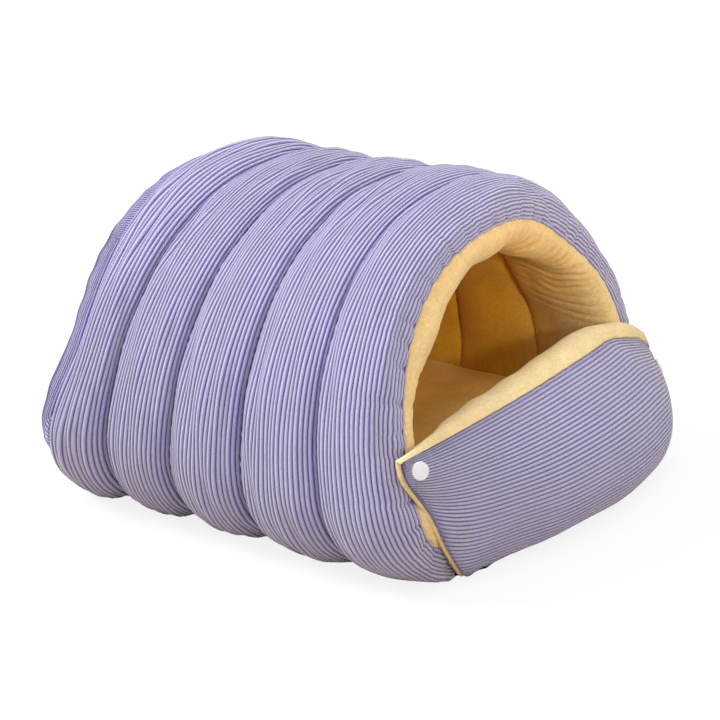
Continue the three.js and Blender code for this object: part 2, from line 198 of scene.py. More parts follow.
corduroyLooks = {
    # crease is the painted shade colour laid on the cloth beside the sewn seams
    "crest": "#bcb9dd", "flank": "#a29fcf", "grooveWeaveAndShade": "#4b478e", "crease": "#8a84cc",
    "pileLength": 1.1,  # mm, length of the little tufts along a wale
    "pileContrast": 0.16,
    "sheen": 1.0,
}


def corduroyMaterial(name, looks):
    # cotton-rich wide-wale corduroy: soft ribs of cut pile, dark between them from the bare ground weave and from
    # painted shade in the hollows, with a dusty sheen; painted shade also darkens the cloth beside the sewn seams
    material, tree, shader = newMaterial(name, 0.92, looks["sheen"], 0.35, "#fffaf2")
    wale = addNode(tree, "ShaderNodeAttribute", attribute_name="wale")
    # painted shade: the seam attribute says how much of the crease colour is multiplied in
    seam = addNode(tree, "ShaderNodeAttribute", attribute_name="seam")
    place = addNode(tree, "ShaderNodeTexCoord")
    turned = addNode(tree, "ShaderNodeMath", {0: wale.outputs["Fac"], 1: math.pi}, operation="MULTIPLY")
    wave = addNode(tree, "ShaderNodeMath", {0: turned.outputs[0]}, operation="SINE")
    ridge = addNode(tree, "ShaderNodeMath", {0: wave.outputs[0]}, operation="ABSOLUTE")
    tufts = addNode(tree, "ShaderNodeTexNoise", {
        "Vector": place.outputs["Object"], "Scale": 1 / (looks["pileLength"] * mm), "Detail": 3.0, "Roughness": 0.6})
    patches = addNode(tree, "ShaderNodeTexNoise", {
        "Vector": place.outputs["Object"], "Scale": 45.0, "Detail": 2.0, "Roughness": 0.5})
    # the ribs' colour runs from the colour between them, which is the ground weave partly darkened with painted shade,
    # up to the crest's pile colour
    ramp = addNode(tree, "ShaderNodeValToRGB", {"Fac": ridge.outputs[0]})
    ramp.color_ramp.interpolation = "EASE"
    ramp.color_ramp.elements[0].position = 0.02
    ramp.color_ramp.elements[0].color = linear(looks["grooveWeaveAndShade"])
    ramp.color_ramp.elements[1].position = 0.98
    ramp.color_ramp.elements[1].color = linear(looks["crest"])
    middle = ramp.color_ramp.elements.new(0.5)
    middle.color = linear(looks["flank"])
    mottle = addNode(tree, "ShaderNodeMapRange", {
        "Value": tufts.outputs["Fac"], "From Min": 0.25, "From Max": 0.75,
        "To Min": 1 - looks["pileContrast"], "To Max": 1 + looks["pileContrast"]})
    drift = addNode(tree, "ShaderNodeMapRange", {
        "Value": patches.outputs["Fac"], "From Min": 0.3, "From Max": 0.7, "To Min": 0.965, "To Max": 1.035})
    both = addNode(tree, "ShaderNodeMath", {0: mottle.outputs[0], 1: drift.outputs[0]}, operation="MULTIPLY")
    # painted shade beside the sewn seams and in the rim's gathers
    paintedCreaseShade = addNode(tree, "ShaderNodeMix", {
        0: seam.outputs["Fac"], 6: ramp.outputs["Color"], 7: linear(looks["crease"])},
        data_type="RGBA", blend_type="MULTIPLY")
    coloured = addNode(tree, "ShaderNodeVectorMath", {
        0: paintedCreaseShade.outputs[2], "Scale": both.outputs[0]}, operation="SCALE")
    tree.links.new(coloured.outputs[0], shader.inputs["Base Color"])
    fibres = addNode(tree, "ShaderNodeBump", {
        "Height": tufts.outputs["Fac"], "Strength": 0.6, "Distance": 0.0006})
    ribs = addNode(tree, "ShaderNodeBump", {
        "Height": ridge.outputs[0], "Strength": 0.9, "Distance": 0.0013, "Normal": fibres.outputs[0]})
    tree.links.new(ribs.outputs[0], shader.inputs["Normal"])
    return material


fleeceLooks = {
    "pile": "#ecd7a8", "shade": "#dcc492", "paintedInsideShade": "#ffd452",  # painted shade: a warmer, darker tint laid on the pile where it lies inside the hood, standing in for its shade and the yellow light bounced between its walls
    "tuft": 2.6,  # mm, size of the little tufts
    "sheen": 0.3,
}


def fleeceMaterial(name, looks):
    # short plush polyester fleece: matt, a little uneven, with tufts that catch the light; painted shade tints it
    # warmer and darker where it lies inside
    material, tree, shader = newMaterial(name, 0.95, looks["sheen"], 0.45, "#fff3d0")
    paintedInsideShade = addNode(tree, "ShaderNodeAttribute", attribute_name="paintedInsideShade")
    place = addNode(tree, "ShaderNodeTexCoord")
    tufts = addNode(tree, "ShaderNodeTexNoise", {
        "Vector": place.outputs["Object"], "Scale": 1 / (looks["tuft"] * mm), "Detail": 4.0, "Roughness": 0.65})
    patches = addNode(tree, "ShaderNodeTexNoise", {
        "Vector": place.outputs["Object"], "Scale": 60.0, "Detail": 2.0})
    ramp = addNode(tree, "ShaderNodeValToRGB", {"Fac": tufts.outputs["Fac"]})
    ramp.color_ramp.elements[0].position = 0.3
    ramp.color_ramp.elements[0].color = linear(looks["shade"])
    ramp.color_ramp.elements[1].position = 0.62
    ramp.color_ramp.elements[1].color = linear(looks["pile"])
    # painted shade: the pile colour is multiplied towards the inside tint by how far inside it lies
    inside = addNode(tree, "ShaderNodeMix", {
        0: paintedInsideShade.outputs["Fac"], 6: ramp.outputs["Color"], 7: linear(looks["paintedInsideShade"])},
        data_type="RGBA", blend_type="MULTIPLY")
    drift = addNode(tree, "ShaderNodeMapRange", {
        "Value": patches.outputs["Fac"], "From Min": 0.3, "From Max": 0.7, "To Min": 0.94, "To Max": 1.05})
    coloured = addNode(tree, "ShaderNodeVectorMath", {
        0: inside.outputs[2], "Scale": drift.outputs[0]}, operation="SCALE")
    tree.links.new(coloured.outputs[0], shader.inputs["Base Color"])
    nap = addNode(tree, "ShaderNodeBump", {
        "Height": tufts.outputs["Fac"], "Strength": 0.4, "Distance": 0.0007})
    lie = addNode(tree, "ShaderNodeBump", {
        "Height": patches.outputs["Fac"], "Strength": 0.3, "Distance": 0.002, "Normal": nap.outputs[0]})
    tree.links.new(lie.outputs[0], shader.inputs["Normal"])
    return material


def wovenMaterial(name, weave):
    # plain woven base cloth, dark, with its threads just in sight
    material, tree, shader = newMaterial(name, 0.85, 0.1)
    place = addNode(tree, "ShaderNodeTexCoord")
    split = addNode(tree, "ShaderNodeSeparateXYZ", {0: place.outputs["Object"]})
    threads = []
    for axis in ("X", "Y"):
        scaled = addNode(tree, "ShaderNodeMath",
            {0: split.outputs[axis], 1: math.pi / (weave * mm)},
            operation="MULTIPLY")
        threads.append(addNode(tree, "ShaderNodeMath", {0: scaled.outputs[0]}, operation="SINE"))
    crossed = addNode(tree, "ShaderNodeMath",
        {0: threads[0].outputs[0], 1: threads[1].outputs[0]},
        operation="MULTIPLY")
    ramp = addNode(tree, "ShaderNodeValToRGB", {"Fac": crossed.outputs[0]})
    ramp.color_ramp.elements[0].color = linear("#1f1d24")
    ramp.color_ramp.elements[1].color = linear("#37343d")
    tree.links.new(ramp.outputs["Color"], shader.inputs["Base Color"])
    bump = addNode(tree, "ShaderNodeBump", {"Height": crossed.outputs[0], "Strength": 0.4, "Distance": 0.0003})
    tree.links.new(bump.outputs[0], shader.inputs["Normal"])
    return material


def mouldedMaterial(name):
    # white acetal snap cap: smooth, faintly uneven from the mould
    material, tree, shader = newMaterial(name, 0.32)
    shader.inputs["Specular IOR Level"].default_value = 0.5
    place = addNode(tree, "ShaderNodeTexCoord")
    specks = addNode(tree, "ShaderNodeTexNoise",
        {"Vector": place.outputs["Object"], "Scale": 900.0,
        "Detail": 2.0})
    ramp = addNode(tree, "ShaderNodeValToRGB", {"Fac": specks.outputs["Fac"]})
    ramp.color_ramp.elements[0].color = linear("#dfe2ee")
    ramp.color_ramp.elements[1].color = linear("#eff1fa")
    tree.links.new(ramp.outputs["Color"], shader.inputs["Base Color"])
    bump = addNode(tree, "ShaderNodeBump", {"Height": specks.outputs["Fac"], "Strength": 0.08, "Distance": 0.0002})
    tree.links.new(bump.outputs[0], shader.inputs["Normal"])
    return material


def threadMaterial(name, colour):
    # spun polyester sewing thread
    material, tree, shader = newMaterial(name, 0.7, 0.2)
    place = addNode(tree, "ShaderNodeTexCoord")
    twist = addNode(tree, "ShaderNodeTexNoise", {"Vector": place.outputs["Object"], "Scale": 2500.0})
    ramp = addNode(tree, "ShaderNodeValToRGB", {"Fac": twist.outputs["Fac"]})
    ramp.color_ramp.elements[0].color = [c * 0.7 for c in linear(colour)[:3]] + [1.0]
    ramp.color_ramp.elements[1].color = linear(colour)
    tree.links.new(ramp.outputs["Color"], shader.inputs["Base Color"])
    return material


corduroy = corduroyMaterial("lavenderWideWaleCorduroy", corduroyLooks)
fleece = fleeceMaterial("yellowShortPlushFleece", fleeceLooks)
woven = wovenMaterial("darkWovenBaseCloth", 0.9)
moulded = mouldedMaterial("whiteMouldedSnapCap")
lavenderThread = threadMaterial("lavenderSewingThread", "#8f87c6")
print("materials made")


# Geometry Nodes

def newGeometryTree(name, inputs):
    tree = bpy.data.node_groups.new(name, "GeometryNodeTree")
    tree.interface.new_socket("Geometry", in_out="INPUT", socket_type="NodeSocketGeometry")
    for label, kind in inputs.items():
        tree.interface.new_socket(label, in_out="INPUT", socket_type=kind)
    tree.interface.new_socket("Geometry", in_out="OUTPUT", socket_type="NodeSocketGeometry")
    return tree, addNode(tree, "NodeGroupInput"), addNode(tree, "NodeGroupOutput")


def closeTree(tree, geometry, material, end):
    real = addNode(tree, "GeometryNodeRealizeInstances", {"Geometry": geometry})
    finish = addNode(tree, "GeometryNodeSetMaterial", {"Geometry": real.outputs[0], "Material": material})
    tree.links.new(finish.outputs[0], end.inputs[0])


def corduroyRibs():
    # lifts the rounded wales out of a smooth surface that carries wale and waleDepth
    tree, start, end = newGeometryTree("corduroyRibs", {
        "Roundness": "NodeSocketFloat", "Material": "NodeSocketMaterial"})
    wale = addNode(tree, "GeometryNodeInputNamedAttribute", {"Name": "wale"}, data_type="FLOAT")
    depth = addNode(tree, "GeometryNodeInputNamedAttribute", {"Name": "waleDepth"}, data_type="FLOAT")
    turned = addNode(tree, "ShaderNodeMath", {0: wale.outputs["Attribute"], 1: math.pi}, operation="MULTIPLY")
    wave = addNode(tree, "ShaderNodeMath", {0: turned.outputs[0]}, operation="SINE")
    ridge = addNode(tree, "ShaderNodeMath", {0: wave.outputs[0]}, operation="ABSOLUTE")
    rounded = addNode(tree, "ShaderNodeMath",
        {0: ridge.outputs[0], 1: start.outputs["Roundness"]},
        operation="POWER")
    lift = addNode(tree, "ShaderNodeMath",
        {0: rounded.outputs[0], 1: depth.outputs["Attribute"]},
        operation="MULTIPLY")
    normal = addNode(tree, "GeometryNodeInputNormal")
    offset = addNode(tree, "ShaderNodeVectorMath",
        {0: normal.outputs[0], "Scale": lift.outputs[0]},
        operation="SCALE")
    moved = addNode(tree, "GeometryNodeSetPosition",
        {"Geometry": start.outputs["Geometry"],
        "Offset": offset.outputs[0]})
    closeTree(tree, moved.outputs[0], start.outputs["Material"], end)
    return tree


def stitchRow():
    # lays short thread stitches end to end along each edge chain of the mesh
    tree, start, end = newGeometryTree("stitchRow", {
        "Spacing": "NodeSocketFloat", "Length": "NodeSocketFloat", "Thickness": "NodeSocketFloat",
        "Material": "NodeSocketMaterial"})
    curve = addNode(tree, "GeometryNodeMeshToCurve", {"Mesh": start.outputs["Geometry"]})
    places = addNode(tree, "GeometryNodeResampleCurve", {
        "Curve": curve.outputs[0], "Length": start.outputs["Spacing"]}, mode="LENGTH")
    tangent = addNode(tree, "GeometryNodeInputTangent")
    turn = addNode(tree, "FunctionNodeAlignRotationToVector", {"Vector": tangent.outputs[0]}, axis="Z")
    bead = addNode(tree, "GeometryNodeMeshUVSphere", {"Segments": 6, "Rings": 4, "Radius": 0.5})
    size = addNode(tree, "ShaderNodeCombineXYZ", {
        0: start.outputs["Thickness"], 1: start.outputs["Thickness"], 2: start.outputs["Length"]})
    laid = addNode(tree, "GeometryNodeInstanceOnPoints", {
        "Points": places.outputs[0], "Instance": bead.outputs[0],
        "Rotation": turn.outputs[0],
        "Scale": size.outputs[0]})
    closeTree(tree, laid.outputs[0], start.outputs["Material"], end)
    return tree


def applyTree(piece, tree, settings):
    modifier = piece.modifiers.new(tree.name, "NODES")
    modifier.node_group = tree
    for item in tree.interface.items_tree:
        if item.in_out == "INPUT" and item.name in settings:
            modifier[item.identifier] = settings[item.name]
    made = bpy.data.meshes.new_from_object(piece.evaluated_get(bpy.context.evaluated_depsgraph_get()))
    piece.modifiers.clear()
    piece.data = made
    made.name = piece.name
    return piece


ribs = corduroyRibs()
stitches = stitchRow()


def addStitches(name, lines, settings, material):
    points, edges = [], []
    for line in lines:
        first = len(points)
        points.extend(line)
        edges.extend((k, k + 1) for k in range(first, len(points) - 1))
    mesh = bpy.data.meshes.new(name)
    mesh.from_pydata(toMetres(points), edges, [])
    piece = bpy.data.objects.new(name, mesh)
    bpy.context.scene.collection.objects.link(piece)
    applyTree(piece, stitches, {**settings, "Material": material})
    piece.data.polygons.foreach_set("use_smooth", np.ones(len(piece.data.polygons), bool))
    return piece


# Hood: a padded panel in five sewn channels, leaning at the doorway

outerRing = {"halfWidth": 182, "waist": 76.5, "height": 240, "tuck": 104, "foot": 118,
             "crownPower": 2.14, "sidePower": 2.22}
innerRing = {"halfWidth": 149, "waist": 80, "height": 206, "tuck": 72, "foot": 101,
             "crownPower": 2.14, "sidePower": 2.22}
sideShare = 0.13  # part of the ring below the waist, on each side
sewnLines = {  # back seam, the four sewn lines and the doorway
    "crownY": [171, 118, 67, 12.5, -45, -92.5],
    "floorY": [207, 147, 83, 11, -70, -145],
    "width": [1.005, 0.996, 0.997, 1.006, 1.025, 1.052],
    "height": [1.009, 0.998, 0.997, 1.005, 1.022, 1.049],
}
leanPower = 1.23
backDraw = {"depth": 18, "from": 30, "to": 250, "start": 0.5}  # the back seam is drawn forward at these heights
doorwayFootY = -131
floorClear = 2.3

hoodLooks = {
    "puffAtFloor": 18, "puffAtCrown": 11, "roundness": 2.26,
    "rollPuff": 1.05, "rollRound": 0.8, "rimInset": 23, "rimInsetAtFloor": 14, "insetPower": 1.89,
    "rightInset": 11, "rightInsetAt": 0.66, "rightInsetWidth": 0.1,  # the rim is drawn further in on the right
    "turnUnder": 3.5,  # mm of cloth that turns in at the rim seam
    "walePitch": 3.12, "waleDepth": 0.95, "waleRoundness": 0.4, "perWale": 3, "rows": 246,
    "wobble": 0.2, "wobbleLength": 10, "wobbleReach": 8,  # mm that a wale strays, most beside the seams
    "lumpLength": 80, "lump": 0.9,
    "puckerLength": 10, "pucker": 0.7, "puckerReach": 6,
    "crease": 1.6, "creaseReach": 2.5,  # mm that the sewing pulls in, and how far it is felt
    "pleatGap": [13, 24], "pleatDepth": [1.6, 3.4], "pleatWidth": 2.3, "pleatReach": [9, 20],
    "pleatSlant": 0.4, "pleatKink": 2.0,
    "wander": 0.25,  # mm that a sewn line strays from its even course
    "behindLining": 8,  # mm that the padding's hidden side keeps clear of the fleece
}


def atLine(name, v):
    return np.interp(v, np.arange(6), sewnLines[name])


def ringPoint(ring, u, width, height):
    side = np.where(u < 0.5, -1, 1)
    fromFoot = np.minimum(u, 1 - u)
    centre = ring["halfWidth"] - ring["tuck"]
    footAngle = math.acos((ring["foot"] - centre) / ring["tuck"])
    low = footAngle * (1 - np.minimum(fromFoot / sideShare, 1))
    high = np.clip((fromFoot - sideShare) / (1 - 2 * sideShare), 0, 0.5) * math.pi
    lowX, lowZ = centre + ring["tuck"] * np.cos(low), ring["waist"] * (1 - np.sin(low))
    highX = ring["halfWidth"] * np.maximum(np.cos(high), 0) ** (2 / ring["sidePower"])
    highZ = ring["waist"] + (ring["height"] * height - ring["waist"]) * np.sin(high) ** (2 / ring["crownPower"])
    below = fromFoot < sideShare
    return side * np.where(below, lowX, highX) * width, np.where(below, lowZ + 0 * height, highZ)


def ringOffset(ring, u, width, height, offset):
    step = 0.002
    x0, z0 = ringPoint(ring, np.maximum(u - step, 0), width, height)
    x1, z1 = ringPoint(ring, np.minimum(u + step, 1), width, height)
    length = np.hypot(x1 - x0, z1 - z0)
    x, z = ringPoint(ring, u, width, height)
    return x - (z1 - z0) / length * offset, z + (x1 - x0) / length * offset


def leanY(v, ringZ):
    fall = np.clip(1 - ringZ / outerRing["height"], 0, 1) ** leanPower
    rise = np.clip((ringZ - backDraw["from"]) / (backDraw["to"] - backDraw["from"]), 0, 1)
    drawn = backDraw["depth"] * np.sin(rise * math.pi) * ease(0, backDraw["start"], rise) * np.clip(1 - v, 0, 1)
    return lerp(atLine("crownY", v), atLine("floorY", v), fall) - drawn


def channelProfile(t, roundness):
    return np.sqrt(np.maximum(0, 1 - np.abs(2 * t - 1) ** roundness))


def crownShare(z):
    return np.clip(z / outerRing["height"], 0, 1) ** 2


def outerPoint(u, v):
    # v runs from 0 at the back seam to 5 at the rim of the doorway; past 5 the cloth turns in
    looks = hoodLooks
    under = np.maximum(v - 5, 0) * 1000
    v = np.minimum(v, 5)
    width, height = atLine("width", v), atLine("height", v)
    ringZ = ringPoint(outerRing, u, width, height)[1]
    puff = lerp(looks["puffAtFloor"], looks["puffAtCrown"], crownShare(ringZ))
    channel = np.minimum(np.floor(v), 4)
    t = v - channel
    plain = puff * channelProfile(t, looks["roundness"])
    inset = lerp(looks["rimInsetAtFloor"], looks["rimInset"], np.clip(ringZ / outerRing["waist"], 0, 1))
    fromInset = (u - looks["rightInsetAt"]) / looks["rightInsetWidth"]
    inset = inset + looks["rightInset"] * np.exp(-(fromInset ** 2))
    roll = puff * looks["rollPuff"] * np.maximum(np.sin(t * math.pi), 0) ** looks["rollRound"]
    roll = roll - inset * t ** looks["insetPower"] + 0.35 * under
    inRoll = channel == 4
    forward = (1 - np.cos(t * math.pi)) / 2
    y = np.where(inRoll, leanY(4 + forward, ringZ), leanY(v, ringZ))
    y = np.where(inRoll, np.maximum(y, doorwayFootY), y) + 0.94 * under
    x, z = ringOffset(outerRing, u, width, height, np.where(inRoll, roll, plain))
    z = (z + np.sqrt(z * z + 2.0)) / 2  # the bottoms rest on the floor
    return np.stack(np.broadcast_arrays(x, y, z), axis=-1)


def spreadOver(channels, pitch, pointAt):
    # places along v that part each channel into whole wales, with the wale count and the distance to its seams
    places, wales, near = [np.array([channels[0]], float)], [np.zeros(1)], [np.zeros(1)]
    for channel in channels:
        t = np.linspace(0, 1, 240)
        curve = pointAt(np.full(240, 0.3), channel + np.minimum(t, 0.9999))
        rough = evenStops(curve, 10)[1]
        count = max(3, round(rough / pitch))
        fine, length = evenStops(curve, 400)
        inWales = waleStops(count)
        run = inWales / count * length
        places.append(channel + np.interp(inWales / count, np.linspace(0, 1, 401), fine)[1:])
        wales.append(wales[-1][-1] + inWales[1:])
        near.append(np.minimum(run, length - run)[1:])
    return np.concatenate(places), np.concatenate(wales), np.concatenate(near)


def rimRun(u):
    # distance along the rim of the doorway, from its left foot
    even = np.linspace(0, 1, 900)
    step = np.linalg.norm(np.diff(outerPoint(even, np.full(900, 5.0)), axis=0), axis=1)
    return np.interp(u, even, np.concatenate([[0], np.cumsum(step)]))


def pleats(along, apart):
    # gathers at the rim: how deep each dips, and how far it drags the wales aside
    looks = hoodLooks
    random = np.random.default_rng(8)
    place, dip, drag = 12.0, 0 * along * apart, 0 * along * apart
    while place < along.max() - 8:
        slant, depth = random.uniform(-1, 1) * looks["pleatSlant"], random.uniform(*looks["pleatDepth"])
        fade = np.exp(-apart / random.uniform(*looks["pleatReach"]))
        offset = (along - place - slant * apart) / looks["pleatWidth"]
        dip = dip + depth * np.exp(-offset * offset) * fade
        drag = drag + looks["pleatKink"] * random.choice([-1, 1]) * offset * np.exp(-offset * offset / 2) * fade
        place += random.uniform(*looks["pleatGap"])
    return dip, drag


def makeHood():
    looks = hoodLooks
    v, wale, near = spreadOver(range(5), looks["walePitch"], outerPoint)
    turned = np.arange(1, looks["perWale"] + 1) / looks["perWale"] * looks["turnUnder"]
    v = np.concatenate([v, 5 + turned / 1000])
    wale = np.concatenate([wale, wale[-1] + 0.15 * turned / turned[-1]])
    near = np.concatenate([near, 0 * turned])
    ring = np.linspace(0, 1, 600)
    u = evenStops(outerPoint(ring, np.full(600, 2.5)), looks["rows"])[0]
    points = outerPoint(u[:, None], v[None, :])
    along = runAlong(points, 0)[:, len(v) // 2][:, None]
    normal = surfaceNormals(points)
    toSeam = near[None, :]
    channel = np.minimum(np.floor(v + 1e-6), 4)
    seamIndex = np.round(v)
    lumps = makeWaves(3, looks["lumpLength"])(along, 150 * channel[None, :] + 400 * (v - channel)[None, :])
    fill = np.clip(toSeam / 14, 0, 1)
    move = looks["lump"] * lumps * fill
    for seam in range(1, 5):
        at = (seamIndex == seam)[None, :]
        pucker = makeWaves(20 + seam, looks["puckerLength"], direction=0.0)(along)
        move = move + at * looks["pucker"] * pucker * np.exp(-toSeam / looks["puckerReach"])
        stray = makeWaves(40 + seam, 60, direction=0.0)(along)
        points[..., 1] += at * looks["wander"] * stray * np.exp(-toSeam / 10)
    move = move - looks["crease"] * np.exp(-toSeam / looks["creaseReach"]) * (seamIndex < 5) * (seamIndex > 0)
    inFront = np.where(seamIndex >= 5, 1.0, 0.0)[None, :]
    wobble = makeWaves(45, looks["wobbleLength"])(
        along,
        1.6 * np.cumsum(np.append(0, np.diff(near) > 0))[None, :])
    points[..., 1] += (looks["wobble"] * wobble * np.exp(-toSeam / looks["wobbleReach"])
                       * np.clip(toSeam / 4, 0, 1))
    dip, drag = pleats(rimRun(u)[:, None], toSeam)
    points = points + normal * (move - inFront * dip)[..., None]
    towardRim = np.gradient(points, axis=1)
    towardRim = towardRim / np.maximum(np.linalg.norm(towardRim, axis=2, keepdims=True), 1e-6)
    points = points + towardRim * (inFront * drag * np.clip(toSeam / 4, 0, 1))[..., None]
    points[..., 2] = np.maximum(points[..., 2], 0.2)
    depth = looks["waleDepth"] * mm * (0.5 + 0.5 * np.clip(toSeam / 5, 0, 1)) * np.ones_like(points[..., 0])
    # painted shade: darker within a few mm of each sewn seam, and at the rim darker in the deeper gathers
    paintedSeamShade = np.exp(-toSeam / 3.5) * np.where(inFront, 0.25 + 0.5 * dip / looks["pleatDepth"][1], 1.0)
    step = looks["perWale"]
    coarseV = np.minimum(v[::step], 5)
    away = np.minimum(u, 1 - u)[::step][:, None]
    room = (np.clip((5 - coarseV[None, :]) / 0.3, 0, 1) * np.clip(coarseV[None, :] / 0.3, 0, 1)
            * np.clip(away / 0.06, 0, 1))
    coarse = innerPoint(u[::step][:, None], coarseV[None, :], 3.2 + looks["behindLining"] * room)
    hood = addShell("hood_cover", points, coarse, step, corduroy, {
        "wale": wale[None, :], "waleDepth": depth, "seam": paintedSeamShade})
    applyTree(hood, ribs, {"Roundness": looks["waleRoundness"], "Material": corduroy})
    lines = []
    for seam in range(1, 5):
        column = int(np.argmin(np.abs(v - seam)))
        lines.append(points[:, column] + normal[:, column] * 0.6)
    rimEnd = int(np.argmin(np.abs(v - 5)))
    stitch = {"Spacing": 3.2 * mm, "Length": 2.6 * mm, "Thickness": 0.8 * mm}
    thread = addStitches("hood_stitches", lines, stitch, lavenderThread)
    return hood, thread, (u, points[:, rimEnd])


# Hood lining: fleece on the cabin's side, rolled over the rim of the doorway

liningLooks = {
    "setBackCrown": 20, "setBackFloor": 4, "setBackHeight": 150,
    "puffAtSide": 9, "puffAtCrown": 12, "rollAtSide": 9, "rollAtCrown": 20, "rollRound": 0.7,
    "thickness": 2.5, "rows": 420, "perChannel": 22, "rollColumns": 60, "turnUnder": 3.5,
    "lumpLength": 60, "lump": 1.6, "seamPull": 9,
    "folds": 1.0, "foldGap": 15, "foldWidth": 0.3, "foldLean": 0.1, "foldBend": 0.002, "foldPatch": 60,
    # close folds on the right shoulder, with painted shade along their lines
    "wrinkles": 2.3, "wrinkleGap": 9, "wrinkleFrom": 0.46, "wrinkleTo": 0.78, "paintedWrinkleShade": 0.35,
    "rollPuff": 5, "rollWidth": 62,  # mm that the roll stands out, and how far it reaches in
    "shoulderPuff": 9, "shoulderAt": 0.34, "shoulderWidth": 0.09,
    # painted shade: where along the hood the inside shade ramps up, and how much of it lies at the rim
    "paintedShadeFrom": -128, "paintedShadeTo": -15, "paintedShadeAtRim": 0.12,
}


def innerPoint(u, v, depth):
    # fleece side of the hood; depth is how far the point lies behind the fleece's face
    looks = liningLooks
    under = np.maximum(v - 5, 0) * 1000
    v = np.minimum(v, 5)
    width, height = atLine("width", v), atLine("height", v)
    ringZ = ringPoint(innerRing, u, width, height)[1]
    share = crownShare(ringZ)
    setBack = lerp(looks["setBackFloor"], looks["setBackCrown"], np.clip(ringZ / looks["setBackHeight"], 0, 1))
    setBack = setBack * np.clip(v, 0, 1)
    footFade = np.clip(np.minimum(u, 1 - u) / sideShare, 0, 1)
    channel = np.minimum(np.floor(v), 4)
    t = v - channel
    plain = -lerp(looks["puffAtSide"], looks["puffAtCrown"], share) * footFade
    plain = plain * channelProfile(t, hoodLooks["roundness"])
    plainX, plainZ = ringOffset(innerRing, u, width, height, plain + depth)
    fromRim = 5 - v
    back = (1 - np.cos(np.clip(fromRim, 0, 1) * math.pi)) / 2
    rim = outerPoint(u, 5 + 0 * v)
    fold = lerp(looks["rollAtSide"], looks["rollAtCrown"], share) * footFade
    offset = -fold * np.maximum(np.sin(np.clip(fromRim, 0, 1) * math.pi), 0) ** looks["rollRound"]
    seamShare = np.clip(1 - fromRim, 0, 1) ** hoodLooks["insetPower"]
    sewnX, sewnZ = ringOffset(innerRing, u, width, height, offset + depth)
    seamX, seamZ = ringOffset(outerRing, u, width, height, 0)
    length = np.maximum(np.hypot(seamX - rim[..., 0], seamZ - rim[..., 2]), 1e-6)
    outX, outZ = (seamX - rim[..., 0]) / length, (seamZ - rim[..., 2]) / length
    rollX = lerp(sewnX, rim[..., 0] + outX * (depth + offset), seamShare)
    rollZ = lerp(sewnZ, rim[..., 2] + outZ * (depth + offset), seamShare)
    rollY = lerp(rim[..., 1], leanY(4, ringZ) + setBack, back) + 0.95 * under
    inRoll = v > 4
    x = np.where(inRoll, rollX, plainX)
    y = np.where(inRoll, rollY, leanY(v, ringZ) + setBack)
    z = np.maximum(np.where(inRoll, rollZ, plainZ), floorClear)
    return np.stack(np.broadcast_arrays(x, y, z), axis=-1)


